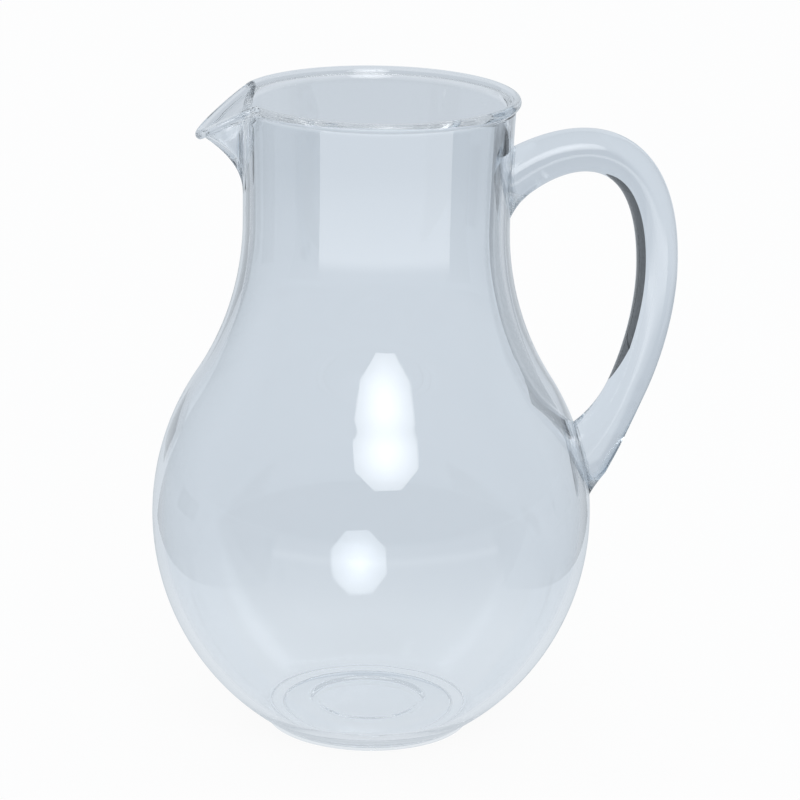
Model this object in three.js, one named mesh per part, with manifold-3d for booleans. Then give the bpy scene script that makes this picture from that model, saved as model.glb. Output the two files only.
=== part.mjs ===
// A clear plastic water jug: a round-bellied moulded body with a beaded rim and a pulled pouring spout,
// and a solid bar handle that is cemented to the neck and to the belly.
// Millimetres, +Z up. The origin is the centre of the foot, on the plane that the jug stands on.
// The handle is on +X and the spout on -X.
import * as THREE from "three";
import { mergeVertices } from "three/addons/utils/BufferGeometryUtils.js";
import Module from "manifold-3d";

// Body: outside sizes, heights above the standing plane
const OVERALL_HEIGHT = 240;
const BELLY_RADIUS = 81.6;
const BELLY_HEIGHT = 81;
const THROAT_RADIUS = 48.8;
const THROAT_HEIGHT = 192;
const MOUTH_RADIUS = 50;
const WALL = 3.4;

// Rim: a round bead that stands a little proud of the mouth
const BEAD_RADIUS = 1.87;
const BEAD_INSET = 0.13;
const BEAD_INNER_END = THREE.MathUtils.degToRad(160);
const LIP_EASE = 4;

// Foot: a low ring under the belly, with a recessed underside and a crowned floor
const FOOT_RADIUS = 38.1;
const FOOT_HEIGHT = 2;
const FOOT_LEDGE = 0.7;
const FOOT_EDGE = 0.6;
const FOOT_RING_WIDTH = 5;
const UNDERSIDE_RECESS = 1.5;
const RECESS_DRAFT = 0.6;
const FLOOR_THICKNESS = 3.8;
const FLOOR_CROWN = 0.8;
const FLOOR_RING_RADIUS = 20.3;
const FLOOR_RING_STEP = 0.4;

// Spout: the lip is drawn out and down between two creases that run together at the keel's toe
const SPOUT_REACH = 14.5;
const SPOUT_DIP = 13.2;
const SPOUT_DEPTH = 37;
const SPOUT_HALF_ANGLE = THREE.MathUtils.degToRad(25);
const SPOUT_TOE_ANGLE = THREE.MathUtils.degToRad(5);
const KEEL_CURVE = 2.2;
const CREASE_CURVE = 5;
const KEEL_ROUND = 0.16;
const LIP_POINT = 1.25;
const LIP_DROOP = 1.2;

// Handle: the middle line of the bar, and its oval section, which tapers downwards and flares at its ends.
// A fillet deepens the lower side of each end, close to the body.
const UPPER_SEAT_DROP = 30.4;
const UPPER_SEAT_RISE = THREE.MathUtils.degToRad(35);
const UPPER_SEAT_PULL = 31;
const HANDLE_STANDOFF = 55.1;
const HANDLE_BEND_DROP = 35;
const BEND_PULL_ABOVE = 50;
const BEND_PULL_BELOW = 20;
const LOWER_SEAT_LIFT = 23.2;
const LOWER_SEAT_RISE = THREE.MathUtils.degToRad(47);
const LOWER_SEAT_PULL = 25.5;
const BAR_THICKNESS_TOP = 16.4;
const BAR_THICKNESS_LOW = 14.2;
const BAR_WIDTH_TOP = 17.5;
const BAR_WIDTH_LOW = 15.5;
const UPPER_FLARE = 1.1;
const LOWER_FLARE = 4.7;
const WIDTH_FLARE = 1.5;
const FLARE_LENGTH = 30;
const UPPER_FILLET = 5.7;
const LOWER_FILLET = 2.4;
const FILLET_START = 2.5;
const END_OVERRUN = 12;

// Cement joints: a film under each end of the bar, and a wedge that fills the end's lower corner
const SEAT_GAP = 0.3;
const BOND_FILM = 0.5;
const UPPER_WEDGE_DROP = 4.2;
const UPPER_WEDGE_SLOPE = THREE.MathUtils.degToRad(-18);
const LOWER_WEDGE_DROP = 10;
const LOWER_WEDGE_SLOPE = THREE.MathUtils.degToRad(39);
const BOND_LENGTH = 36;
const WEDGE_BLOCK = 40;

// Mesh fineness: steps along the arcs, and columns round the body and the bar
const COLUMNS = 56;
const SPOUT_COLUMNS = 5;
const COLUMN_BIAS = 1.4;
const COLUMN_EASE = 50;
const BELLY_STEPS = 11;
const SHOULDER_STEPS = 8;
const NECK_STEPS = 10;
const BEAD_STEPS = 7;
const BAR_SIDES = 20;
const BAR_RINGS = 40;
const BOND_RINGS = 18;
const WELD = 1e-3;

const wasm = await Module();
wasm.setup();

const beadHeight = OVERALL_HEIGHT - BEAD_RADIUS;
const beadBottom = OVERALL_HEIGHT - 2 * BEAD_RADIUS;
const spoutToe = OVERALL_HEIGHT - SPOUT_DEPTH;

// The side of the jug is three arcs that run into each other: a belly arc from the foot through the widest
// place, a hollow shoulder arc up to the throat, and a long flare from the throat to the mouth.
const bellyArc = arcThrough(BELLY_RADIUS, BELLY_HEIGHT, FOOT_RADIUS + FOOT_LEDGE, FOOT_HEIGHT);
const shoulderArc = tangentArc(bellyArc, THROAT_RADIUS, THROAT_HEIGHT);
const flareArc = arcThrough(THROAT_RADIUS, THROAT_HEIGHT, MOUTH_RADIUS, beadBottom);

// An arc that is upright at its first point and passes through the second.
// Its radius is positive where the arc bulges outwards and negative where it is hollow.
function arcThrough(uprightRadius, uprightHeight, endRadius, endHeight) {
  const inward = uprightRadius - endRadius;
  const along = uprightHeight - endHeight;
  const radius = (along ** 2 + inward ** 2) / (2 * inward);
  return { centre: new THREE.Vector2(uprightRadius - radius, uprightHeight), radius };
}

// A hollow arc that is upright at a point and runs smoothly out of a bulging arc below it.
function tangentArc(below, uprightRadius, uprightHeight) {
  const across = uprightRadius - below.centre.x;
  const along = uprightHeight - below.centre.y;
  const radius = (across ** 2 + along ** 2 - below.radius ** 2) / (2 * (below.radius - across));
  return { centre: new THREE.Vector2(uprightRadius + radius, uprightHeight), radius: -radius };
}

// The height at which the belly turns into the shoulder, on a side moved outwards by an offset.
function turnHeight(offset) {
  const share = (bellyArc.radius + offset) / (bellyArc.radius - shoulderArc.radius);
  return THREE.MathUtils.lerp(bellyArc.centre.y, shoulderArc.centre.y, share);
}

// Distance from the axis to the outside of the jug at a height.
function sideRadiusAt(height) {
  const lowerArc = height < turnHeight(0) ? bellyArc : shoulderArc;
  const arc = height < THROAT_HEIGHT ? lowerArc : flareArc;
  const across = Math.sqrt(arc.radius ** 2 - (height - arc.centre.y) ** 2);
  return arc.centre.x + Math.sign(arc.radius) * across;
}

// Points on an arc, moved outwards by an offset, between two heights at equal steps of angle.
function arcPoints(arc, fromHeight, toHeight, steps, offset) {
  const radius = arc.radius + offset;
  const from = Math.asin((fromHeight - arc.centre.y) / radius);
  const to = Math.asin((toHeight - arc.centre.y) / radius);
  return Array.from({ length: steps + 1 }, (_, step) => {
    const angle = THREE.MathUtils.lerp(from, to, step / steps);
    return new THREE.Vector2(
      arc.centre.x + radius * Math.cos(angle),
      arc.centre.y + radius * Math.sin(angle),
    );
  });
}

// The side of the jug from a height near the foot up to the top of the neck, moved outwards by an offset.
function side(offset, fromHeight, toHeight) {
  const turn = turnHeight(offset);
  return [
    ...arcPoints(bellyArc, fromHeight, turn, BELLY_STEPS, offset),
    ...arcPoints(shoulderArc, turn, THROAT_HEIGHT, SHOULDER_STEPS, offset).slice(1),
    ...arcPoints(flareArc, THROAT_HEIGHT, toHeight, NECK_STEPS, offset).slice(1),
  ];
}

// Turns an outline of (distance from the axis, height) points round the jug's axis.
// The columns of points start on +X, so that one of them runs down the middle of the spout.
function turned(outline) {
  const geometry = new THREE.LatheGeometry(outline, COLUMNS, Math.PI / 2);
  geometry.rotateX(Math.PI / 2);
  return geometry;
}

function solidOf(geometry) {
  const bare = geometry.clone();
  bare.deleteAttribute("normal");
  bare.deleteAttribute("uv");
  const merged = mergeVertices(bare, WELD);
  const vertProperties = merged.getAttribute("position").array;
  const triVerts = new Uint32Array(merged.index.array);
  return new wasm.Manifold(new wasm.Mesh({ numProp: 3, vertProperties, triVerts }));
}

function geometryOf(solid) {
  const mesh = solid.getMesh();
  const geometry = new THREE.BufferGeometry();
  geometry.setAttribute("position", new THREE.BufferAttribute(mesh.vertProperties, 3));
  geometry.setIndex(new THREE.BufferAttribute(mesh.triVerts, 1));
  geometry.computeVertexNormals();
  return geometry;
}

// Body

// The whole section of the shell, from the middle of the underside round to the middle of the floor.
function bodyOutline() {
  const ringInside = FOOT_RADIUS - FOOT_EDGE - FOOT_RING_WIDTH;
  const floorHeight = UNDERSIDE_RECESS + FLOOR_THICKNESS;
  const crownHeight = floorHeight + FLOOR_CROWN;
  const underside = [
    new THREE.Vector2(0, UNDERSIDE_RECESS),
    new THREE.Vector2(ringInside - RECESS_DRAFT, UNDERSIDE_RECESS),
    new THREE.Vector2(ringInside, 0),
    new THREE.Vector2(FOOT_RADIUS - FOOT_EDGE, 0),
    new THREE.Vector2(FOOT_RADIUS, FOOT_EDGE),
    new THREE.Vector2(FOOT_RADIUS, FOOT_HEIGHT),
  ];
  const outside = side(0, FOOT_HEIGHT, beadBottom);
  const beadStart = -Math.acos(BEAD_INSET / BEAD_RADIUS);
  const bead = Array.from({ length: BEAD_STEPS }, (_, step) => {
    const angle = THREE.MathUtils.lerp(beadStart, BEAD_INNER_END, (step + 1) / BEAD_STEPS);
    return new THREE.Vector2(
      MOUTH_RADIUS - BEAD_INSET + BEAD_RADIUS * Math.cos(angle),
      beadHeight + BEAD_RADIUS * Math.sin(angle),
    );
  });
  const inside = side(-WALL, floorHeight, OVERALL_HEIGHT - LIP_EASE).reverse();
  const floor = [
    new THREE.Vector2(FLOOR_RING_RADIUS + FLOOR_RING_STEP, crownHeight),
    new THREE.Vector2(FLOOR_RING_RADIUS, crownHeight - FLOOR_RING_STEP),
    new THREE.Vector2(0, crownHeight - FLOOR_RING_STEP),
  ];
  return [...underside, ...outside, ...bead, ...inside, ...floor];
}

// How far up the spout a height lies: 0 at the keel's toe and 1 on the bead, which moves as a whole.
function spoutShare(height) {
  if (height > beadBottom) return 1;
  return THREE.MathUtils.clamp((height - spoutToe) / (beadHeight - spoutToe), 0, 1);
}

// Half the angle between the two creases. Below the toe it eases out to the plain spacing of the columns.
function creaseAngle(height, plainAngle) {
  if (height < spoutToe) {
    const ease = THREE.MathUtils.smoothstep(spoutToe - height, 0, COLUMN_EASE);
    return THREE.MathUtils.lerp(SPOUT_TOE_ANGLE, plainAngle, ease);
  }
  const opening = spoutShare(height) ** CREASE_CURVE;
  return THREE.MathUtils.lerp(SPOUT_TOE_ANGLE, SPOUT_HALF_ANGLE, opening);
}

// Pulls the spout out of a turned shell. The columns are first drawn together so that an edge runs down
// each crease and down the keel; then the lip between the creases is drawn outwards and downwards.
function pullSpout(geometry) {
  const position = geometry.getAttribute("position");
  const plainAngle = (SPOUT_COLUMNS * 2 * Math.PI) / COLUMNS;
  const point = new THREE.Vector3();
  for (let index = 0; index < position.count; index++) {
    point.fromBufferAttribute(position, index);
    const radius = Math.hypot(point.x, point.y);
    const bearing = Math.atan2(point.y, -point.x);
    const crease = creaseAngle(point.z, plainAngle);
    const share = spoutShare(point.z);
    const across = Math.min(1, Math.abs(bearing) / plainAngle) ** COLUMN_BIAS;
    const beyond = Math.max(0, (Math.abs(bearing) - plainAngle) / (Math.PI - plainAngle));
    const angle = Math.sign(bearing) * THREE.MathUtils.lerp(crease * across, Math.PI, beyond);
    const rounded = Math.hypot(across, KEEL_ROUND) - KEEL_ROUND;
    const open = Math.max(0, 1 - rounded / (Math.hypot(1, KEEL_ROUND) - KEEL_ROUND));
    const reach = radius + SPOUT_REACH * share ** KEEL_CURVE * open ** LIP_POINT;
    const height = point.z - SPOUT_DIP * share * open ** LIP_DROOP;
    position.setXYZ(index, -reach * Math.cos(angle), reach * Math.sin(angle), height);
  }
  return geometry;
}

// A solid of the body's outside, grown by an offset, that trims what seats on the body.
function bodyBlank(offset) {
  return solidOf(
    turned([
      new THREE.Vector2(0, FOOT_HEIGHT),
      ...side(offset, FOOT_HEIGHT, beadBottom),
      new THREE.Vector2(0, beadBottom),
    ]),
  );
}

// Handle

// A direction in the handle's plane, outwards from the jug and rising by an angle.
function outwardsRising(angle) {
  return new THREE.Vector3(Math.cos(angle), 0, Math.sin(angle));
}

// Where each end of the bar meets the body's outside, and which way the bar leaves it.
const upperHeight = OVERALL_HEIGHT - UPPER_SEAT_DROP;
const upperSeat = new THREE.Vector3(sideRadiusAt(upperHeight), 0, upperHeight);
const upperWay = outwardsRising(UPPER_SEAT_RISE);
const lowerHeight = BELLY_HEIGHT + LOWER_SEAT_LIFT;
const lowerSeat = new THREE.Vector3(sideRadiusAt(lowerHeight), 0, lowerHeight);
const lowerWay = outwardsRising(LOWER_SEAT_RISE);

// The middle line of the bar, from inside the neck wall over the bend to inside the belly wall.
function handlePath() {
  const bend = new THREE.Vector3(THROAT_RADIUS + HANDLE_STANDOFF, 0, upperHeight - HANDLE_BEND_DROP);
  const up = new THREE.Vector3(0, 0, 1);
  const upperEnd = upperSeat.clone().addScaledVector(upperWay, -END_OVERRUN);
  const lowerEnd = lowerSeat.clone().addScaledVector(lowerWay, -END_OVERRUN);
  const upperPull = upperSeat.clone().addScaledVector(upperWay, UPPER_SEAT_PULL);
  const lowerPull = lowerSeat.clone().addScaledVector(lowerWay, LOWER_SEAT_PULL);
  const abovePull = bend.clone().addScaledVector(up, BEND_PULL_ABOVE);
  const belowPull = bend.clone().addScaledVector(up, -BEND_PULL_BELOW);
  const path = new THREE.CurvePath();
  path.add(new THREE.LineCurve3(upperEnd, upperSeat));
  path.add(new THREE.CubicBezierCurve3(upperSeat, upperPull, abovePull, bend));
  path.add(new THREE.CubicBezierCurve3(bend, belowPull, lowerPull, lowerSeat));
  path.add(new THREE.LineCurve3(lowerSeat, lowerEnd));
  return path;
}

// One oval ring of the bar round a place on its middle line.
function barRing(path, along) {
  const length = path.getLength();
  const middle = path.getPointAt(along);
  const way = path.getTangentAt(along);
  const inwards = new THREE.Vector3(way.z, 0, -way.x);
  const fromUpper = along * length - END_OVERRUN;
  const fromLower = (1 - along) * length - END_OVERRUN;
  const upperFlare = flareAt(fromUpper);
  const lowerFlare = flareAt(fromLower);
  const flare = UPPER_FLARE * upperFlare + LOWER_FLARE * lowerFlare;
  const wider = WIDTH_FLARE * (upperFlare + lowerFlare);
  const thickness = THREE.MathUtils.lerp(BAR_THICKNESS_TOP, BAR_THICKNESS_LOW, along) / 2 + flare;
  const width = THREE.MathUtils.lerp(BAR_WIDTH_TOP, BAR_WIDTH_LOW, along) / 2 + wider;
  const innerDepth = thickness + UPPER_FILLET * filletAt(fromUpper);
  const outerDepth = thickness + LOWER_FILLET * filletAt(fromLower);
  return Array.from({ length: BAR_SIDES }, (_, corner) => {
    const angle = (2 * Math.PI * corner) / BAR_SIDES;
    const depth = Math.cos(angle) > 0 ? innerDepth : outerDepth;
    const point = middle.clone().addScaledVector(inwards, depth * Math.cos(angle));
    point.y += width * Math.sin(angle);
    return point;
  });
}

// Share of an end's flare at a distance from the wall along the bar.
function flareAt(distance) {
  return THREE.MathUtils.clamp(1 - distance / FLARE_LENGTH, 0, 1) ** 2;
}

// Share of an end's fillet at a distance from the wall along the bar. It is whole at the end inside the wall.
function filletAt(distance) {
  const share = (FILLET_START - distance) / (FILLET_START + END_OVERRUN);
  return THREE.MathUtils.clamp(share, 0, 1) ** 2;
}

// A closed skin over a row of rings with equal counts of points, with a flat cap on each end.
function loft(rings) {
  const sides = rings[0].length;
  const last = (rings.length - 1) * sides;
  const faces = [];
  for (let ring = 0; ring + 1 < rings.length; ring++) {
    for (let corner = 0; corner < sides; corner++) {
      const here = ring * sides + corner;
      const beside = ring * sides + ((corner + 1) % sides);
      faces.push(here, beside, here + sides, beside, beside + sides, here + sides);
    }
  }
  for (let corner = 1; corner + 1 < sides; corner++) {
    faces.push(0, corner + 1, corner);
    faces.push(last, last + corner, last + corner + 1);
  }
  const geometry = new THREE.BufferGeometry().setFromPoints(rings.flat());
  geometry.setIndex(faces);
  return geometry;
}

// The bar between two places on its middle line.
function bar(path, from, to, ringCount) {
  const rings = Array.from({ length: ringCount + 1 }, (_, ring) =>
    barRing(path, THREE.MathUtils.lerp(from, to, ring / ringCount)),
  );
  return solidOf(loft(rings));
}

// A block under a sloping plane that meets the body's side below a seat. It parts the lower corner of a
// handle end, which is cement, from the bar above it.
function wedgeBlock(seat, drop, slope, lift) {
  const height = seat.z - drop;
  const block = new THREE.BoxGeometry(WEDGE_BLOCK, WEDGE_BLOCK, WEDGE_BLOCK);
  block.translate(0, 0, lift - WEDGE_BLOCK / 2);
  block.rotateY(-slope);
  block.translate(sideRadiusAt(height), 0, height);
  return solidOf(block);
}

function upperWedge(lift) {
  return wedgeBlock(upperSeat, UPPER_WEDGE_DROP, UPPER_WEDGE_SLOPE, lift);
}

function lowerWedge(lift) {
  return wedgeBlock(lowerSeat, LOWER_WEDGE_DROP, LOWER_WEDGE_SLOPE, lift);
}

// The bar, trimmed clear of the body, of the cement film and of the cement wedges.
function handle(path) {
  return bar(path, 0, 1, BAR_RINGS)
    .subtract(bodyBlank(SEAT_GAP + BOND_FILM + SEAT_GAP))
    .subtract(upperWedge(SEAT_GAP))
    .subtract(lowerWedge(SEAT_GAP));
}

// The cement under one end of the bar: a film that follows the body, and a wedge.
function bond(barEnd, wedge) {
  const cement = bodyBlank(SEAT_GAP + BOND_FILM).add(wedge);
  return barEnd.intersect(cement).subtract(bodyBlank(SEAT_GAP));
}

// Assembly

const jug = new THREE.Group();

function addPart(name, geometry, color, roughness) {
  const clear = { metalness: 0, transparent: true, opacity: 0.35 };
  const part = new THREE.Mesh(geometry, new THREE.MeshStandardMaterial({ ...clear, color, roughness }));
  part.name = name;
  jug.add(part);
}

const path = handlePath();
const bondShare = BOND_LENGTH / path.getLength();
const upperEnd = bar(path, 0, bondShare, BOND_RINGS);
const lowerEnd = bar(path, 1 - bondShare, 1, BOND_RINGS);

addPart("body", pullSpout(turned(bodyOutline())), 0xcdd7e0, 0.04);
addPart("handle", geometryOf(handle(path)), 0xd3dae4, 0.06);
addPart("upper_handle_bond", geometryOf(bond(upperEnd, upperWedge(0))), 0xdde3ea, 0.12);
addPart("lower_handle_bond", geometryOf(bond(lowerEnd, lowerWedge(0))), 0xdde3ea, 0.12);

export default jug;
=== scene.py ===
# A clear plastic table jug, put together from its moulded body, its bar handle and the two cement joints
# that hold the handle on. Metres, +Z up, the handle on +X and the spout on -X.
import math

import bmesh
import bpy
from mathutils import Matrix, Vector


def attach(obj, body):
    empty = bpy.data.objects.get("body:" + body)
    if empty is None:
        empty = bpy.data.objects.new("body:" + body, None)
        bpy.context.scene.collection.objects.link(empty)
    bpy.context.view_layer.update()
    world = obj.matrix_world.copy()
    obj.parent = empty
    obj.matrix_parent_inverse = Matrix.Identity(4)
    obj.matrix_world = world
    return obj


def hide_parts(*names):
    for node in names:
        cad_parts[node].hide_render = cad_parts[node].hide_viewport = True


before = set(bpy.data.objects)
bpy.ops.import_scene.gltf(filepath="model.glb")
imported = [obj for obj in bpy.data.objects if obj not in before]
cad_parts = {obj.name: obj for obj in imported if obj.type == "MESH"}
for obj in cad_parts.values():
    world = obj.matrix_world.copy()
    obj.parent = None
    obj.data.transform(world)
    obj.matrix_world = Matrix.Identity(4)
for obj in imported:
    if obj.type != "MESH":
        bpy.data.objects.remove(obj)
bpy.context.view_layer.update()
scene = bpy.context.scene


# Body
# The jug's shell is one moulding of rigid clear plastic with polished walls: a low foot ring, a round belly,
# a hollow shoulder and a neck with a beaded rim. The spout is pulled out of it between two creases.
jug_height = 0.240
belly_radius = 0.0816
belly_height = 0.081
throat_radius = 0.0488
throat_height = 0.192
mouth_radius = 0.050
wall = 0.0034

bead_radius = 0.00187
bead_inset = 0.00013
bead_inner_end = math.radians(160)
lip_ease = 0.004

foot_radius = 0.0381
foot_height = 0.002
foot_ledge = 0.0007
foot_edge = 0.0006
foot_ring_width = 0.005
underside_recess = 0.0015
recess_draft = 0.0006
floor_thickness = 0.0038
floor_crown = 0.0008
floor_ring_radius = 0.0203
floor_ring_step = 0.0004
floor_ring_groove = 0.0005
floor_ring_width = 0.0045
floor_corner = 0.006
moulded_round = 0.0005
lip_round = 0.002
round_limit = 0.45

spout_reach = 0.0145
spout_dip = 0.0132
spout_depth = 0.037
spout_half_angle = math.radians(25)
spout_toe_angle = math.radians(5)
spout_wall = 0.0026
spout_gather_angle = math.radians(32.14)
keel_curve = 2.2
crease_curve = 5
keel_round = 0.16
lip_point = 1.25
lip_droop = 1.2
column_bias = 1.4
column_ease = 0.05

body_columns = 360
belly_steps = 60
shoulder_steps = 40
neck_steps = 44
bead_steps = 30
lip_steps = 12
lip_rows = 4
floor_steps = 16
round_steps = 5
body_crease = math.radians(50)

streak_stretch = 0.04
streak_detail = 3
streak_share = 0.35
cloud_detail = 2
rub_detail = 6
rub_swirl = 1.5
haze_starts = 0.5
haze_full = 0.75
wave_depth = 0.001

bead_height = jug_height - bead_radius
bead_bottom = jug_height - 2 * bead_radius
bead_end_radius = mouth_radius - bead_inset + bead_radius * math.cos(bead_inner_end)
bead_end_height = bead_height + bead_radius * math.sin(bead_inner_end)
inside_top = jug_height - lip_ease
spout_toe = jug_height - spout_depth


def blend(a, b, share):
    return a + (b - a) * share


def clamp(value):
    return max(0.0, min(1.0, value))


def smooth(value):
    value = clamp(value)
    return value * value * (3 - 2 * value)


def arc_through(upright_radius, upright_height, end_radius, end_height):
    """Centre and radius of an arc that is upright at its first point and passes through the second."""
    inward = upright_radius - end_radius
    along = upright_height - end_height
    radius = (along**2 + inward**2) / (2 * inward)
    return upright_radius - radius, upright_height, radius


def tangent_arc(below, upright_radius, upright_height):
    """A hollow arc that is upright at a point and runs smoothly out of a bulging arc below it."""
    across = upright_radius - below[0]
    along = upright_height - below[1]
    radius = (across**2 + along**2 - below[2] ** 2) / (2 * (below[2] - across))
    return upright_radius + radius, upright_height, -radius


belly_arc = arc_through(belly_radius, belly_height, foot_radius + foot_ledge, foot_height)
shoulder_arc = tangent_arc(belly_arc, throat_radius, throat_height)
flare_arc = arc_through(throat_radius, throat_height, mouth_radius, bead_bottom)


def turn_height(offset):
    """The height at which the belly turns into the shoulder, on a side moved outwards by an offset."""
    share = (belly_arc[2] + offset) / (belly_arc[2] - shoulder_arc[2])
    return blend(belly_arc[1], shoulder_arc[1], share)


def side_radius(height):
    """Distance from the axis to the outside of the jug at a height."""
    lower_arc = belly_arc if height < turn_height(0) else shoulder_arc
    x, z, radius = lower_arc if height < throat_height else flare_arc
    return x + math.copysign(math.sqrt(radius**2 - (height - z) ** 2), radius)


def arc_points(arc, from_height, to_height, steps, offset):
    """Points on an arc between two heights, moved outwards by an offset."""
    x, z, radius = arc
    radius += offset
    start = math.asin((from_height - z) / radius)
    end = math.asin((to_height - z) / radius)
    angles = [blend(start, end, step / steps) for step in range(steps + 1)]
    return [(x + radius * math.cos(angle), z + radius * math.sin(angle)) for angle in angles]


def side(offset, from_height, to_height):
    """The jug's side from a height near the foot to the top of the neck, moved outwards by an offset."""
    turn = turn_height(offset)
    belly = arc_points(belly_arc, from_height, turn, belly_steps, offset)
    shoulder = arc_points(shoulder_arc, turn, throat_height, shoulder_steps, offset)
    neck = arc_points(flare_arc, throat_height, to_height, neck_steps, offset)
    return belly + shoulder[1:] + neck[1:]


def rounded(corners, ease, steps):
    """A line through corners, each inner corner rounded off over a length, or less beside a short side."""
    points = [corners[0]]
    for before, corner, after in zip(corners, corners[1:], corners[2:]):
        corner = Vector(corner)
        back = Vector(before) - corner
        ahead = Vector(after) - corner
        start = corner + back.normalized() * min(ease, back.length * round_limit)
        end = corner + ahead.normalized() * min(ease, ahead.length * round_limit)
        for step in range(steps + 1):
            share = step / steps
            points.append(tuple(start.lerp(corner, share).lerp(corner.lerp(end, share), share)))
    return points + [corners[-1]]


def body_outline():
    """The shell's section, from the middle of the underside round to the middle of the floor."""
    ring_inside = foot_radius - foot_edge - foot_ring_width
    floor_height = underside_recess + floor_thickness
    crown_height = floor_height + floor_crown
    floor_edge_radius = floor_ring_radius + floor_ring_width / 2
    outside = side(0, foot_height, bead_bottom)
    inside = side(-wall, floor_height, inside_top)[::-1]
    underside = rounded(
        [
            (0, underside_recess),
            (ring_inside - recess_draft, underside_recess),
            (ring_inside, 0),
            (foot_radius, 0),
            (foot_radius, foot_height),
            outside[0],
            outside[1],
        ],
        moulded_round,
        round_steps,
    )
    bead_start = -math.acos(bead_inset / bead_radius)
    bead = []
    for step in range(1, bead_steps + 1):
        angle = blend(bead_start, bead_inner_end, step / bead_steps)
        across = mouth_radius - bead_inset + bead_radius * math.cos(angle)
        bead.append((across, bead_height + bead_radius * math.sin(angle)))
    lip = rounded([bead[-1], inside[0], inside[lip_rows]], lip_round, lip_steps)
    wall_end = [point for point in inside[lip_rows + 1 :] if point[1] > floor_height + floor_corner]
    floor = rounded([wall_end[-1], inside[-1], (floor_edge_radius, crown_height)], floor_corner, floor_steps)
    for step in range(1, floor_steps + 1):
        share = step / floor_steps
        sunk = floor_ring_step * smooth(share) + floor_ring_groove * math.sin(math.pi * share) ** 2
        floor.append((floor_edge_radius - floor_ring_width * share, crown_height - sunk))
    floor.append((0, crown_height - floor_ring_step))
    return underside[:-1] + outside[1:] + bead + lip[1:] + wall_end[:-1] + floor


def spout_share(height):
    """How far up the spout a height lies: 0 at the keel's toe and 1 at the middle of the bead."""
    return clamp((height - spout_toe) / (bead_height - spout_toe))


def crease_angle(height, share):
    """Half the angle between the two creases. Below the toe it eases out to the plain spacing of columns."""
    if height < spout_toe:
        return blend(spout_toe_angle, spout_gather_angle, smooth((spout_toe - height) / column_ease))
    return blend(spout_toe_angle, spout_half_angle, share**crease_curve)


def spout_shape(radius, height):
    """How far a point is pulled with the spout, and half the angle between the creases there.

    The bead moves as a whole. Inside, the creases stand closer together, so that the spout's sides keep
    their thickness, and the wall runs up to the bead's inner end.
    """
    inside = radius < min(bead_end_radius, side_radius(min(height, bead_bottom)) - wall / 2)
    share = spout_share(height)
    if not inside:
        share = 1.0 if height > bead_bottom else share
        return share, crease_angle(height, share)
    to_bead = clamp((height - inside_top) / (bead_end_height - inside_top))
    share = blend(min(share, spout_share(inside_top)), 1.0, to_bead)
    return share, crease_angle(height, share) - spout_wall / mouth_radius * share * (1 - to_bead)


def pulled(radius, height, bearing):
    """Where a point of the turned shell goes when the spout is pulled. Bearings start at the spout."""
    share, crease = spout_shape(radius, height)
    across = min(1.0, abs(bearing) / spout_gather_angle) ** column_bias
    beyond = max(0.0, (abs(bearing) - spout_gather_angle) / (math.pi - spout_gather_angle))
    angle = math.copysign(blend(crease * across, math.pi, beyond), bearing)
    bend = math.hypot(across, keel_round) - keel_round
    opening = max(0.0, 1 - bend / (math.hypot(1, keel_round) - keel_round))
    reach = radius + spout_reach * share**keel_curve * opening**lip_point
    drop = spout_dip * share * opening**lip_droop
    return Vector((-reach * math.cos(angle), reach * math.sin(angle), height - drop))


def new_piece(name, vertices, faces, sharp_angle):
    """A smooth-shaded mesh object, with the edges that are sharper than an angle kept crisp."""
    mesh = bpy.data.meshes.new(name)
    mesh.from_pydata([tuple(v) for v in vertices], [], faces)
    tidy = bmesh.new()
    tidy.from_mesh(mesh)
    bmesh.ops.recalc_face_normals(tidy, faces=tidy.faces)
    tidy.to_mesh(mesh)
    tidy.free()
    mesh.shade_smooth()
    mesh.set_sharp_from_angle(angle=sharp_angle)
    piece = bpy.data.objects.new(name, mesh)
    scene.collection.objects.link(piece)
    return piece


def turned_shell(outline, columns):
    """Vertices and faces of an outline turned round the axis, with the spout pulled out of it."""
    rows = outline[1:-1]
    vertices = []
    for radius, height in rows:
        for column in range(columns):
            bearing = 2 * math.pi * column / columns - math.pi
            vertices.append(pulled(radius, height, bearing))
    faces = []
    for row in range(len(rows) - 1):
        for column in range(columns):
            here = row * columns + column
            beside = row * columns + (column + 1) % columns
            faces.append((here, here + columns, beside + columns, beside))
    for middle, first in ((outline[0], 0), (outline[-1], (len(rows) - 1) * columns)):
        vertices.append(Vector((0, 0, middle[1])))
        for column in range(columns):
            faces.append((first + column, first + (column + 1) % columns, len(vertices) - 1))
    return vertices, faces


def add_node(tree, kind, **settings):
    node = tree.nodes.new(kind)
    for name, value in settings.items():
        setattr(node, name, value)
    return node


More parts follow.
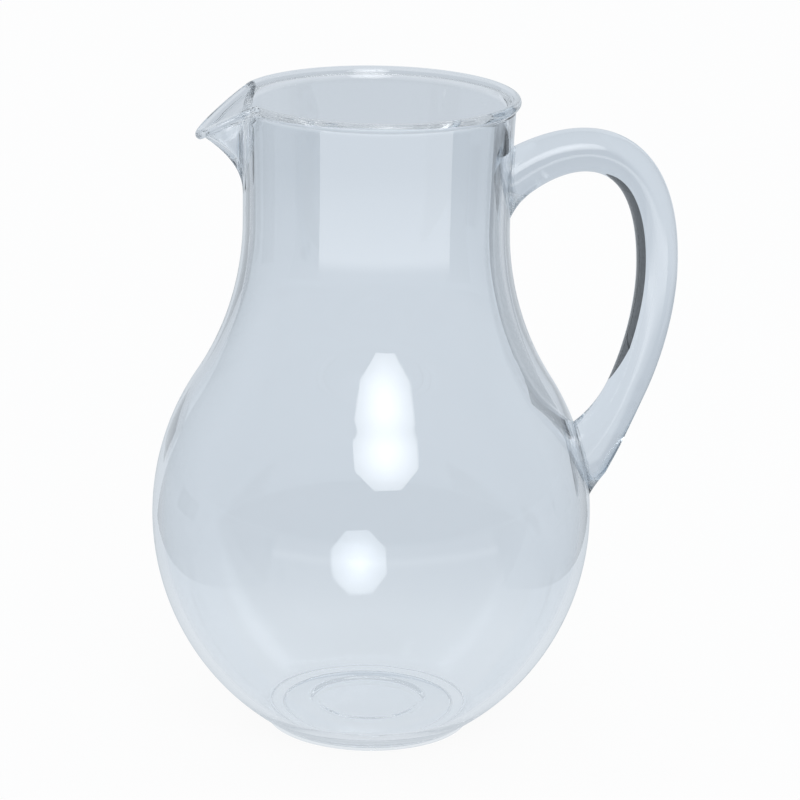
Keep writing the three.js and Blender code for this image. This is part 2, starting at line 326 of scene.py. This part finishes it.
def moulding_flow_group():
    """Streaks of flow, soft unevenness and fine rub marks, as a moulded clear plastic has them."""
    group = bpy.data.node_groups.new("moulding_flow", "ShaderNodeTree")
    face = group.interface
    face.new_socket("Streak Scale", in_out="INPUT", socket_type="NodeSocketFloat")
    face.new_socket("Cloud Scale", in_out="INPUT", socket_type="NodeSocketFloat")
    face.new_socket("Rub Scale", in_out="INPUT", socket_type="NodeSocketFloat")
    face.new_socket("Height", in_out="OUTPUT", socket_type="NodeSocketFloat")
    face.new_socket("Tint", in_out="OUTPUT", socket_type="NodeSocketFloat")
    face.new_socket("Haze", in_out="OUTPUT", socket_type="NodeSocketFloat")
    link = group.links.new
    entry = add_node(group, "NodeGroupInput")
    leave = add_node(group, "NodeGroupOutput")
    place = add_node(group, "ShaderNodeTexCoord")
    stretch = add_node(group, "ShaderNodeMapping")
    stretch.inputs["Scale"].default_value = (1, 1, streak_stretch)
    link(place.outputs["Object"], stretch.inputs["Vector"])
    streaks = add_node(group, "ShaderNodeTexNoise")
    streaks.inputs["Detail"].default_value = streak_detail
    link(stretch.outputs["Vector"], streaks.inputs["Vector"])
    link(entry.outputs["Streak Scale"], streaks.inputs["Scale"])
    clouds = add_node(group, "ShaderNodeTexNoise")
    clouds.inputs["Detail"].default_value = cloud_detail
    link(place.outputs["Object"], clouds.inputs["Vector"])
    link(entry.outputs["Cloud Scale"], clouds.inputs["Scale"])
    rubs = add_node(group, "ShaderNodeTexNoise")
    rubs.inputs["Detail"].default_value = rub_detail
    rubs.inputs["Distortion"].default_value = rub_swirl
    link(place.outputs["Object"], rubs.inputs["Vector"])
    link(entry.outputs["Rub Scale"], rubs.inputs["Scale"])
    both = add_node(group, "ShaderNodeMath", operation="MULTIPLY_ADD")
    both.inputs[1].default_value = streak_share
    link(streaks.outputs["Fac"], both.inputs[0])
    link(clouds.outputs["Fac"], both.inputs[2])
    haze = add_node(group, "ShaderNodeMapRange")
    haze.inputs["From Min"].default_value = haze_starts
    haze.inputs["From Max"].default_value = haze_full
    link(rubs.outputs["Fac"], haze.inputs["Value"])
    link(both.outputs["Value"], leave.inputs["Height"])
    link(clouds.outputs["Fac"], leave.inputs["Tint"])
    link(haze.outputs["Result"], leave.inputs["Haze"])
    return group


moulding_flow = moulding_flow_group()


def clear_plastic(name, pale, deep, gloss, rubbed, ior, scales, wave):
    """Clear plastic that varies between two tints, and between a polished and a rubbed roughness."""
    material = bpy.data.materials.new(name)
    material.use_nodes = True
    tree = material.node_tree
    link = tree.links.new
    shader = tree.nodes["Principled BSDF"]
    shader.inputs["Transmission Weight"].default_value = 1.0
    shader.inputs["IOR"].default_value = ior
    flow = add_node(tree, "ShaderNodeGroup", node_tree=moulding_flow)
    for socket, scale in zip(("Streak Scale", "Cloud Scale", "Rub Scale"), scales):
        flow.inputs[socket].default_value = scale
    tint = add_node(tree, "ShaderNodeMix", data_type="RGBA")
    tint.inputs["A"].default_value = (*pale, 1)
    tint.inputs["B"].default_value = (*deep, 1)
    link(flow.outputs["Tint"], tint.inputs["Factor"])
    link(tint.outputs["Result"], shader.inputs["Base Color"])
    rough = add_node(tree, "ShaderNodeMapRange")
    rough.inputs["To Min"].default_value = gloss
    rough.inputs["To Max"].default_value = rubbed
    link(flow.outputs["Haze"], rough.inputs["Value"])
    link(rough.outputs["Result"], shader.inputs["Roughness"])
    bump = add_node(tree, "ShaderNodeBump")
    bump.inputs["Strength"].default_value = wave
    bump.inputs["Distance"].default_value = wave_depth
    link(flow.outputs["Height"], bump.inputs["Height"])
    link(bump.outputs["Normal"], shader.inputs["Normal"])
    return material


body = new_piece("clear_body", *turned_shell(body_outline(), body_columns), body_crease)
body.data.materials.append(
    clear_plastic(
        "clear_body_plastic",
        pale=(0.945, 0.963, 0.98),
        deep=(0.925, 0.948, 0.968),
        gloss=0.0,
        rubbed=0.015,
        ior=1.49,
        scales=(90, 14, 420),
        wave=0.04,
    )
)
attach(body, "root")
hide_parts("body")


# Handle
# A solid bar of the same clear plastic, moulded on its own and bent like an ear. Its oval section tapers
# downwards and flares at both ends, which are cut to the body's curve and cemented on.
upper_seat_drop = 0.0304
upper_seat_rise = math.radians(35)
upper_seat_pull = 0.031
handle_standoff = 0.0551
handle_bend_drop = 0.035
bend_pull_above = 0.050
bend_pull_below = 0.020
lower_seat_lift = 0.0232
lower_seat_rise = math.radians(47)
lower_seat_pull = 0.0255
bar_thickness_top = 0.0164
bar_thickness_low = 0.0142
bar_width_top = 0.0175
bar_width_low = 0.0155
upper_flare = 0.0011
lower_flare = 0.0047
width_flare = 0.0015
flare_length = 0.030
upper_fillet = 0.0057
lower_fillet = 0.0024
fillet_start = 0.0025
end_overrun = 0.012
bar_sides = 64
bar_rings = 170
line_steps = 400
crisp = math.radians(35)
all_smooth = math.pi

film = 0.0008
sink = 0.0001
upper_wedge_gap = 0.0002
upper_wedge_drop = 0.0042
upper_wedge_slope = math.radians(-18)
lower_wedge_drop = 0.010
lower_wedge_slope = math.radians(39)
wedge_block_size = 0.040
seat_sector = math.radians(24)
seat_columns = 48
weld = 0.000002

upper_height = jug_height - upper_seat_drop
lower_height = belly_height + lower_seat_lift
upper_seat = Vector((side_radius(upper_height), 0, upper_height))
lower_seat = Vector((side_radius(lower_height), 0, lower_height))
upper_way = Vector((math.cos(upper_seat_rise), 0, math.sin(upper_seat_rise)))
lower_way = Vector((math.cos(lower_seat_rise), 0, math.sin(lower_seat_rise)))


def curve_points(a, b, c, d, steps):
    """Points on a cubic curve from a to d that is pulled towards b and c."""
    points = []
    for step in range(1, steps + 1):
        t = step / steps
        s = 1 - t
        points.append(a * s**3 + b * (3 * s * s * t) + c * (3 * s * t * t) + d * t**3)
    return points


def bar_middle_line():
    """The bar's middle line, from inside the neck wall over the bend to inside the belly wall."""
    bend = Vector((throat_radius + handle_standoff, 0, upper_height - handle_bend_drop))
    above = bend + Vector((0, 0, bend_pull_above))
    below = bend - Vector((0, 0, bend_pull_below))
    upper_pull = upper_seat + upper_way * upper_seat_pull
    lower_pull = lower_seat + lower_way * lower_seat_pull
    line = [upper_seat - upper_way * end_overrun, upper_seat]
    line += curve_points(upper_seat, upper_pull, above, bend, line_steps)
    line += curve_points(bend, below, lower_pull, lower_seat, line_steps)
    return line + [lower_seat - lower_way * end_overrun]


def stations(line, count):
    """Evenly spaced places on a line, each with its share of the length, and the line's length."""
    lengths = [0.0]
    for a, b in zip(line, line[1:]):
        lengths.append(lengths[-1] + (b - a).length)
    places = []
    index = 0
    for number in range(count + 1):
        target = lengths[-1] * number / count
        while index < len(line) - 2 and lengths[index + 1] < target:
            index += 1
        share = (target - lengths[index]) / (lengths[index + 1] - lengths[index])
        places.append((line[index].lerp(line[index + 1], share), number / count))
    return places, lengths[-1]


def flare_share(distance):
    """How much of an end's flare is left at a distance from the wall."""
    return clamp(1 - distance / flare_length) ** 2


def fillet_share(distance):
    """How much of an end's fillet is left at a distance from the wall. It is whole inside the wall."""
    return clamp((fillet_start - distance) / (fillet_start + end_overrun)) ** 2


def bar_rings_between(start, end):
    """The bar's oval rings between two shares of its length."""
    places, length = stations(bar_middle_line(), bar_rings)
    rings = []
    for index, (middle, along) in enumerate(places):
        if not start <= along <= end:
            continue
        before = places[max(0, index - 1)][0]
        after = places[min(bar_rings, index + 1)][0]
        way = (after - before).normalized()
        inwards = Vector((way.z, 0, -way.x))
        from_upper = along * length - end_overrun
        from_lower = (1 - along) * length - end_overrun
        upper = flare_share(from_upper)
        lower = flare_share(from_lower)
        thick = blend(bar_thickness_top, bar_thickness_low, along) / 2 + upper_flare * upper
        thick += lower_flare * lower
        wide = blend(bar_width_top, bar_width_low, along) / 2 + width_flare * (upper + lower)
        inner_depth = thick + upper_fillet * fillet_share(from_upper)
        outer_depth = thick + lower_fillet * fillet_share(from_lower)
        ring = []
        for corner in range(bar_sides):
            angle = 2 * math.pi * corner / bar_sides
            depth = inner_depth if math.cos(angle) > 0 else outer_depth
            sideways = Vector((0, wide * math.sin(angle), 0))
            ring.append(middle + inwards * (depth * math.cos(angle)) + sideways)
        rings.append(ring)
    return rings


def loft(rings):
    """A closed skin over a row of rings with equal counts of points, with a flat cap on each end."""
    sides = len(rings[0])
    last = (len(rings) - 1) * sides
    faces = [tuple(range(sides)), tuple(range(last, last + sides))]
    for ring in range(len(rings) - 1):
        for corner in range(sides):
            here = ring * sides + corner
            beside = ring * sides + (corner + 1) % sides
            faces.append((here, beside, beside + sides, here + sides))
    return [point for ring in rings for point in ring], faces


def seat_block(offset):
    """A sector of the body's outside, grown by an offset, that trims what seats on it."""
    rings = []
    for radius, height in side(offset, belly_height, bead_bottom):
        ring = [Vector((0, 0, height))]
        for column in range(seat_columns + 1):
            angle = blend(-seat_sector, seat_sector, column / seat_columns)
            ring.append(Vector((radius * math.cos(angle), radius * math.sin(angle), height)))
        rings.append(ring)
    return new_piece("seat_block", *loft(rings), all_smooth)


def wedge_block(seat, drop, slope, lift):
    """A block under a sloping plane that parts the lower corner of a handle end from the bar above it."""
    height = seat.z - drop
    half = wedge_block_size / 2
    tilt = Matrix.Translation((side_radius(height), 0, height)) @ Matrix.Rotation(-slope, 4, "Y")
    corners = ((-half, -half), (half, -half), (half, half), (-half, half))
    rings = []
    for z in (lift - wedge_block_size, lift):
        rings.append([tilt @ Vector((x, y, z)) for x, y in corners])
    return new_piece("wedge_block", *loft(rings), all_smooth)


def trimmed(piece, cuts, sharp_angle):
    """Applies a row of (operation, block) cuts to a piece, takes the blocks away and welds what is left."""
    for operation, block in cuts:
        cut = piece.modifiers.new("cut", "BOOLEAN")
        cut.operation = operation
        cut.solver = "MANIFOLD"
        cut.object = block
    bpy.context.view_layer.update()
    result = bpy.data.meshes.new_from_object(piece.evaluated_get(bpy.context.evaluated_depsgraph_get()))
    piece.modifiers.clear()
    piece.data = result
    tidy = bmesh.new()
    tidy.from_mesh(result)
    bmesh.ops.remove_doubles(tidy, verts=tidy.verts, dist=weld)
    bmesh.ops.dissolve_degenerate(tidy, edges=tidy.edges, dist=weld)
    bmesh.ops.triangulate(tidy, faces=tidy.faces)
    bmesh.ops.remove_doubles(tidy, verts=tidy.verts, dist=weld)
    faces_by_corners = {}
    for face in tidy.faces:
        faces_by_corners.setdefault(frozenset(face.verts), []).append(face)
    folded = [face for faces in faces_by_corners.values() if len(faces) > 1 for face in faces]
    bmesh.ops.delete(tidy, geom=folded, context="FACES")
    tidy.to_mesh(result)
    tidy.free()
    result.materials.clear()
    result.shade_smooth()
    result.set_sharp_from_angle(angle=sharp_angle)
    for _, block in cuts:
        bpy.data.objects.remove(block)
    return piece


def upper_wedge(lift):
    return wedge_block(upper_seat, upper_wedge_drop, upper_wedge_slope, lift)


def lower_wedge(lift):
    return wedge_block(lower_seat, lower_wedge_drop, lower_wedge_slope, lift)


handle = new_piece("clear_handle", *loft(bar_rings_between(0, 1)), crisp)
trimmed(
    handle,
    [
        ("DIFFERENCE", seat_block(film - sink)),
        ("DIFFERENCE", upper_wedge(upper_wedge_gap)),
        ("DIFFERENCE", lower_wedge(-sink)),
    ],
    crisp,
)
handle.data.materials.append(
    clear_plastic(
        "clear_handle_plastic",
        pale=(0.885, 0.917, 0.95),
        deep=(0.855, 0.897, 0.936),
        gloss=0.01,
        rubbed=0.03,
        ior=1.49,
        scales=(60, 22, 420),
        wave=0.01,
    )
)
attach(handle, "root")
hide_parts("handle")


# Cement joints
# Clear solvent cement that was run in under each end of the bar. It sets as a film against the body and as a
# wedge that fills the lower corner, a little hazier than the mouldings.
bond_share = 0.17


def cement_joint(name, node, rings, wedge):
    """The part of the bar's end that lies in the film on the body or in the wedge below."""
    joint = new_piece(name, *loft(rings), crisp)
    film_block = seat_block(film)
    fill = trimmed(film_block, [("UNION", wedge)], all_smooth)
    trimmed(joint, [("INTERSECT", fill), ("DIFFERENCE", seat_block(-sink))], crisp)
    joint.data.materials.append(cement)
    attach(joint, "root")
    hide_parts(node)
    return joint


cement = clear_plastic(
    "clear_cement",
    pale=(0.90, 0.92, 0.94),
    deep=(0.83, 0.86, 0.88),
    gloss=0.01,
    rubbed=0.06,
    ior=1.48,
    scales=(200, 260, 700),
    wave=0.06,
)
upper_cement = cement_joint(
    "upper_cement", "upper_handle_bond", bar_rings_between(0, bond_share), upper_wedge(0)
)
lower_cement = cement_joint(
    "lower_cement", "lower_handle_bond", bar_rings_between(1 - bond_share, 1), lower_wedge(0)
)


# Studio
# A white table in a dark room, with pale paper behind the jug and an eight-sided soft box above the camera.
# In the plastic the table is shaded by distance and shines in front of the jug. A cloth flag on the right
# darkens the handle and its joints, and four cloth cards behind the jug darken the edges of the body.
table_shades = (
    (0.10, (0.83, 0.868, 0.905)),
    (0.20, (0.74, 0.783, 0.83)),
    (0.60, (0.74, 0.783, 0.83)),
    (0.90, (0.625, 0.67, 0.72)),
)
shine_strength = 2.6
shine_shades = (
    (0.10, (0.26, 0.26, 0.26)),
    (0.28, (0.08, 0.08, 0.08)),
    (0.46, (0.10, 0.10, 0.10)),
    (0.62, (0.90, 0.90, 0.90)),
    (0.85, (1.0, 1.0, 1.0)),
)
shine_low_strength = 0.3
shine_fade_rise = (0.12, 0.23)
room_light = 1.0
room_dark_level = 0.12
room_dim_level = 0.5
room_dark_from = -0.10
room_pale_from = 0.35


def seen_ray(tree):
    """A value of 1 for the rays that show the backdrop, straight or in the plastic, and 0 for the rest."""
    path = add_node(tree, "ShaderNodeLightPath")
    camera_or_glossy = add_node(tree, "ShaderNodeMath", operation="MAXIMUM")
    tree.links.new(path.outputs["Is Camera Ray"], camera_or_glossy.inputs[0])
    tree.links.new(path.outputs["Is Glossy Ray"], camera_or_glossy.inputs[1])
    any_seen = add_node(tree, "ShaderNodeMath", operation="MAXIMUM")
    tree.links.new(camera_or_glossy.outputs["Value"], any_seen.inputs[0])
    tree.links.new(path.outputs["Is Transmission Ray"], any_seen.inputs[1])
    return any_seen.outputs["Value"]


def mapped(tree, value, from_range, to_range, **settings):
    """A value carried from one range to another."""
    change = add_node(tree, "ShaderNodeMapRange", **settings)
    change.inputs["From Min"].default_value, change.inputs["From Max"].default_value = from_range
    change.inputs["To Min"].default_value, change.inputs["To Max"].default_value = to_range
    tree.links.new(value, change.inputs["Value"])
    return change.outputs["Result"]


def white_to_camera(tree, color_socket):
    """White for the rays that come straight from the camera, and a given colour for the rest."""
    path = add_node(tree, "ShaderNodeLightPath")
    color = add_node(tree, "ShaderNodeMix", data_type="RGBA")
    color.inputs["B"].default_value = (1, 1, 1, 1)
    tree.links.new(color_socket, color.inputs["A"])
    tree.links.new(path.outputs["Is Camera Ray"], color.inputs["Factor"])
    return color.outputs["Result"]


def shade_by_distance(tree, shades):
    """A colour that changes with the distance from the jug's foot."""
    place = add_node(tree, "ShaderNodeNewGeometry")
    away = add_node(tree, "ShaderNodeVectorMath", operation="LENGTH")
    tree.links.new(place.outputs["Position"], away.inputs[0])
    ramp = add_node(tree, "ShaderNodeValToRGB")
    stops = ramp.color_ramp.elements
    for number, (distance, shade) in enumerate(shades):
        stop = stops[number] if number < len(stops) else stops.new(distance)
        stop.position = distance
        stop.color = (*shade, 1)
    tree.links.new(away.outputs["Value"], ramp.inputs["Fac"])
    return ramp.outputs["Color"]


every_ray = ("camera", "diffuse", "glossy", "transmission", "shadow")


def stage_panel(name, vertices, faces, material, rays):
    """A piece of the studio that is seen only by the named kinds of ray."""
    mesh = bpy.data.meshes.new(name)
    mesh.from_pydata([tuple(v) for v in vertices], [], faces)
    mesh.materials.append(material)
    panel = bpy.data.objects.new(name, mesh)
    for kind in every_ray:
        setattr(panel, "visible_" + kind, kind in rays)
    scene.collection.objects.link(panel)
    return panel


def light_only(panels, pieces, name):
    """Lets the glow of some panels reach only some pieces of the jug."""
    lit_pieces = bpy.data.collections.new(name)
    for piece in pieces:
        lit_pieces.objects.link(piece)
    for panel in panels:
        panel.light_linking.receiver_collection = lit_pieces


def glowing(name, color, strength):
    """An even glow of one colour."""
    material = bpy.data.materials.new(name)
    material.use_nodes = True
    tree = material.node_tree
    tree.nodes.remove(tree.nodes["Principled BSDF"])
    glow = add_node(tree, "ShaderNodeEmission")
    glow.inputs["Color"].default_value = (*color, 1)
    glow.inputs["Strength"].default_value = strength
    tree.links.new(glow.outputs["Emission"], tree.nodes["Material Output"].inputs["Surface"])
    return material


def gauze(name, color, cover):
    """A cloth that lets a share of the light through and gives off a colour with the rest."""
    cloth = glowing(name, color, 1.0)
    tree = cloth.node_tree
    weave = add_node(tree, "ShaderNodeMixShader")
    weave.inputs["Fac"].default_value = cover
    gap = add_node(tree, "ShaderNodeBsdfTransparent")
    tree.links.new(gap.outputs["BSDF"], weave.inputs[1])
    tree.links.new(tree.nodes["Emission"].outputs["Emission"], weave.inputs[2])
    tree.links.new(weave.outputs["Shader"], tree.nodes["Material Output"].inputs["Surface"])
    return cloth


floor_half = 3.0
floor_glow = 0.95
floor_paint = (0.9, 0.9, 0.9, 1)
floor_roughness = 0.9
floor_material = bpy.data.materials.new("pale_floor")
floor_material.use_nodes = True
floor_tree = floor_material.node_tree
floor_shader = floor_tree.nodes["Principled BSDF"]
floor_shader.inputs["Base Color"].default_value = floor_paint
floor_shader.inputs["Roughness"].default_value = floor_roughness
floor_white = add_node(floor_tree, "ShaderNodeEmission")
floor_mix = add_node(floor_tree, "ShaderNodeMixShader")
floor_share = mapped(floor_tree, seen_ray(floor_tree), (0, 1), (0, floor_glow))
floor_tree.links.new(floor_share, floor_mix.inputs["Fac"])
floor_shade = shade_by_distance(floor_tree, table_shades)
floor_tree.links.new(white_to_camera(floor_tree, floor_shade), floor_white.inputs["Color"])
floor_tree.links.new(floor_shader.outputs["BSDF"], floor_mix.inputs[1])
floor_tree.links.new(floor_white.outputs["Emission"], floor_mix.inputs[2])
floor_tree.links.new(floor_mix.outputs["Shader"], floor_tree.nodes["Material Output"].inputs["Surface"])
floor_corners = [(x * floor_half, y * floor_half, 0) for x, y in ((-1, -1), (1, -1), (1, 1), (-1, 1))]
stage_panel("floor", floor_corners, [(0, 1, 2, 3)], floor_material, every_ray)

camera_turn = math.radians(4)
camera_distance = 1.34839
camera_height = 0.52996
camera_roll = 0.0203
camera_lens = 171.03
camera_sensor = 36
camera_reach = 20
light_bounces = 128
camera_aim = Vector((0.0099, -0.0007, 0.1245))

soft_box_bearing = math.radians(9.2)
soft_box_rise = math.radians(39)
soft_box_distance = 1.1
soft_box_radius = 0.375
soft_box_sides = 8
soft_box_middle = 6.4
soft_box_edge = 2.0
soft_box_cover = 0.3
soft_box_mirror = Vector((0, -0.066, 0.133))
soft_box_aim = Vector((0, 0, 0.13))
soft_box_centre = soft_box_mirror + soft_box_distance * Vector(
    (
        math.cos(soft_box_rise) * math.sin(soft_box_bearing - camera_turn),
        -math.cos(soft_box_rise) * math.cos(soft_box_bearing - camera_turn),
        math.sin(soft_box_rise),
    )
)
soft_box_facing = (soft_box_aim - soft_box_centre).to_track_quat("Z", "Y")
soft_box_corners = []
for corner in range(soft_box_sides):
    angle = math.pi / soft_box_sides + corner * 2 * math.pi / soft_box_sides
    spoke = Vector((soft_box_radius * math.cos(angle), soft_box_radius * math.sin(angle), 0))
    soft_box_corners.append(soft_box_centre + soft_box_facing @ spoke)


def soft_box_panel(name, paint, share, rays):
    """The front of the soft box, brightest in the middle. Paint on a share of it glows that much more."""
    tree = paint.node_tree
    place = add_node(tree, "ShaderNodeNewGeometry")
    from_middle = add_node(tree, "ShaderNodeVectorMath", operation="DISTANCE")
    from_middle.inputs[1].default_value = soft_box_centre
    tree.links.new(place.outputs["Position"], from_middle.inputs[0])
    levels = (soft_box_middle / share, soft_box_edge / share)
    fall = mapped(tree, from_middle.outputs["Value"], (0, soft_box_radius), levels)
    tree.links.new(fall, tree.nodes["Emission"].inputs["Strength"])
    return stage_panel(name, soft_box_corners, [tuple(range(soft_box_sides))], paint, rays)


soft_box_light = glowing("soft_box_light", (1, 1, 1), soft_box_middle)
soft_box_panel("soft_box", soft_box_light, 1.0, ("diffuse", "glossy"))
soft_box_gauze = gauze("soft_box_gauze", (1, 1, 1), soft_box_cover)
soft_box_inside = soft_box_panel("soft_box_inside", soft_box_gauze, soft_box_cover, ("transmission",))
light_only([soft_box_inside], [body], "lit_by_soft_box")

room_radius = 1.9
room_height = 2.4
room_sides = 72
backdrop_half = math.radians(40)
backdrop_shade = (0.60, 0.645, 0.69)
room_corners = []
for height in (0.0, room_height):
    for corner in range(room_sides):
        angle = 2 * math.pi * corner / room_sides
        room_corners.append((room_radius * math.cos(angle), room_radius * math.sin(angle), height))
dark_faces = [tuple(range(room_sides, 2 * room_sides))]
pale_faces = []
for corner in range(room_sides):
    beside = (corner + 1) % room_sides
    behind_jug = math.sin(2 * math.pi * (corner + 0.5) / room_sides) > math.cos(backdrop_half)
    faces = pale_faces if behind_jug else dark_faces
    faces.append((corner, beside, beside + room_sides, corner + room_sides))
dark_room = glowing("dark_room_paint", (0.85, 0.95, 1.0), room_dark_level)
dim_room = glowing("dim_room_paint", (0.9, 0.95, 1.0), room_dim_level)
stage_panel("dark_room", room_corners, dark_faces, dark_room, ("glossy",))
backdrop_paper = glowing("backdrop_paper", backdrop_shade, 1.0)
stage_panel("backdrop", room_corners, pale_faces, backdrop_paper, ("glossy",))

table_half = 0.19
table_front = -0.05
pale_left = math.radians(-52)
pale_right = math.radians(60)
table_clear = 0.001
second_layer = 2 * table_clear
third_layer = 3 * table_clear
shine_steps = 12
shine = [
    (-table_half, table_front, second_layer),
    (-table_half, -table_half / math.tan(-pale_left), second_layer),
]
for step in range(shine_steps + 1):
    bearing = blend(pale_left, pale_right, step / shine_steps)
    shine.append((room_radius * math.sin(bearing), -room_radius * math.cos(bearing), second_layer))
shine += [
    (table_half, -table_half / math.tan(pale_right), second_layer),
    (table_half, table_front, second_layer),
]
shine_light = glowing("table_shine", (1, 1, 1), shine_strength)
shine_tree = shine_light.node_tree
shine_glow = shine_tree.nodes["Emission"]
shine_tree.links.new(shade_by_distance(shine_tree, shine_shades), shine_glow.inputs["Color"])
shine_view = add_node(shine_tree, "ShaderNodeNewGeometry")
shine_rise = add_node(shine_tree, "ShaderNodeSeparateXYZ")
shine_tree.links.new(shine_view.outputs["Incoming"], shine_rise.inputs["Vector"])
shine_level = mapped(
    shine_tree,
    shine_rise.outputs["Z"],
    shine_fade_rise,
    (shine_low_strength, shine_strength),
    interpolation_type="SMOOTHSTEP",
)
shine_tree.links.new(shine_level, shine_glow.inputs["Strength"])
stage_panel("table_shine", shine, [tuple(range(len(shine)))], shine_light, ("glossy",))
backdrop_turn = table_half / math.tan(backdrop_half)
backdrop_edge = room_radius * math.sin(backdrop_half)
backdrop_line = room_radius * math.cos(backdrop_half)
beside_jug = [
    (-table_half, table_front, table_clear),
    (table_half, table_front, table_clear),
    (table_half, backdrop_turn, table_clear),
    (backdrop_edge, backdrop_line, table_clear),
    (0, room_radius, table_clear),
    (-backdrop_edge, backdrop_line, table_clear),
    (-table_half, backdrop_turn, table_clear),
]
stage_panel("beside_jug", beside_jug, [tuple(range(len(beside_jug)))], backdrop_paper, ("glossy",))
for name, hand, edge in (("left_of_table", -1, pale_left), ("right_of_table", 1, pale_right)):
    turn = -table_half / abs(math.tan(edge))
    far_side = (room_radius * math.sin(edge), -room_radius * math.cos(edge), table_clear)
    behind = [
        (hand * table_half, turn, table_clear),
        (hand * table_half, backdrop_turn, table_clear),
        (hand * backdrop_edge, backdrop_line, table_clear),
        (hand * room_radius, backdrop_line, table_clear),
        (hand * room_radius, turn, table_clear),
    ]
    ahead = [
        (hand * table_half, turn, table_clear),
        far_side,
        (hand * room_radius, far_side[1], table_clear),
        (hand * room_radius, turn, table_clear),
    ]
    stage_panel(name + "_behind", behind, [(0, 1, 2, 3, 4)], dark_room, ("glossy",))
    stage_panel(name + "_ahead", ahead, [(0, 1, 2, 3)], dark_room, ("glossy",))
    stage_panel(name + "_dim", ahead, [(0, 1, 2, 3)], dim_room, ("transmission",))

flag_ends = ((0.285, 0.32), (0.43, 0.09))
flag_height = 0.45
flag_cover = 0.86
flag_foot = (0.27, 0.03)
flag_corners = [(*end, 0) for end in flag_ends]
flag_corners += [(*end, flag_height) for end in flag_ends[::-1]]
flag_corners += [(*corner, third_layer) for corner in (*flag_ends, flag_foot)]
flag_cloth = gauze("flag_cloth", table_shades[1][1], flag_cover)
flag = stage_panel("flag", flag_corners, [(0, 1, 2, 3), (4, 5, 6)], flag_cloth, ("transmission",))
light_only([flag], [body], "lit_by_flag")

edge_card_sectors = (
    (math.radians(18), math.radians(31)),
    (math.radians(59), math.radians(76)),
)
edge_card_near = 0.5
edge_card_far = 1.1
edge_card_cover = 0.4
edge_card_paint = gauze("edge_card", table_shades[2][1], edge_card_cover)
edge_cards = []
for hand in (-1, 1):
    for first, last in edge_card_sectors:
        card_corners = []
        for reach, bearing in (
            (edge_card_near, first),
            (edge_card_far, first),
            (edge_card_far, last),
            (edge_card_near, last),
        ):
            card_corners.append((hand * reach * math.sin(bearing), reach * math.cos(bearing), second_layer))
        card = stage_panel("edge_card", card_corners, [(0, 1, 2, 3)], edge_card_paint, ("transmission",))
        edge_cards.append(card)
light_only(edge_cards, [handle, upper_cement, lower_cement], "lit_by_cards")

world = bpy.data.worlds.new("studio")
scene.world = world
world.use_nodes = True
world_tree = world.node_tree
background = world_tree.nodes["Background"]
room_shade = add_node(world_tree, "ShaderNodeRGB")
room_shade.outputs["Color"].default_value = (*table_shades[-1][1], 1)
world_tree.links.new(white_to_camera(world_tree, room_shade.outputs["Color"]), background.inputs["Color"])
direction = add_node(world_tree, "ShaderNodeTexCoord")
backwards = add_node(world_tree, "ShaderNodeSeparateXYZ")
world_tree.links.new(direction.outputs["Generated"], backwards.inputs["Vector"])
pale_behind = mapped(
    world_tree,
    backwards.outputs["Y"],
    (room_dark_from, room_pale_from),
    (room_dim_level, 1.0),
    interpolation_type="SMOOTHSTEP",
)
world_path = add_node(world_tree, "ShaderNodeLightPath")
world_level = add_node(world_tree, "ShaderNodeMix", data_type="FLOAT")
world_level.inputs["A"].default_value = room_light
world_tree.links.new(world_path.outputs["Is Transmission Ray"], world_level.inputs["Factor"])
world_tree.links.new(pale_behind, world_level.inputs["B"])
world_tree.links.new(world_level.outputs["Result"], background.inputs["Strength"])

camera_data = bpy.data.cameras.new("camera")
camera_data.lens = camera_lens
camera_data.sensor_width = camera_sensor
camera_data.clip_end = camera_reach
camera = bpy.data.objects.new("camera", camera_data)
scene.collection.objects.link(camera)
camera.location = (
    -camera_distance * math.sin(camera_turn),
    -camera_distance * math.cos(camera_turn),
    camera_height,
)
look = (camera_aim - camera.location).to_track_quat("-Z", "Y").to_matrix().to_4x4()
camera.matrix_world = Matrix.Translation(camera.location) @ look @ Matrix.Rotation(camera_roll, 4, "Z")
scene.camera = camera

scene.view_settings.view_transform = "Standard"
scene.cycles.max_bounces = light_bounces
scene.cycles.transmission_bounces = light_bounces
scene.cycles.glossy_bounces = light_bounces
scene.cycles.caustics_refractive = False
scene.cycles.caustics_reflective = False
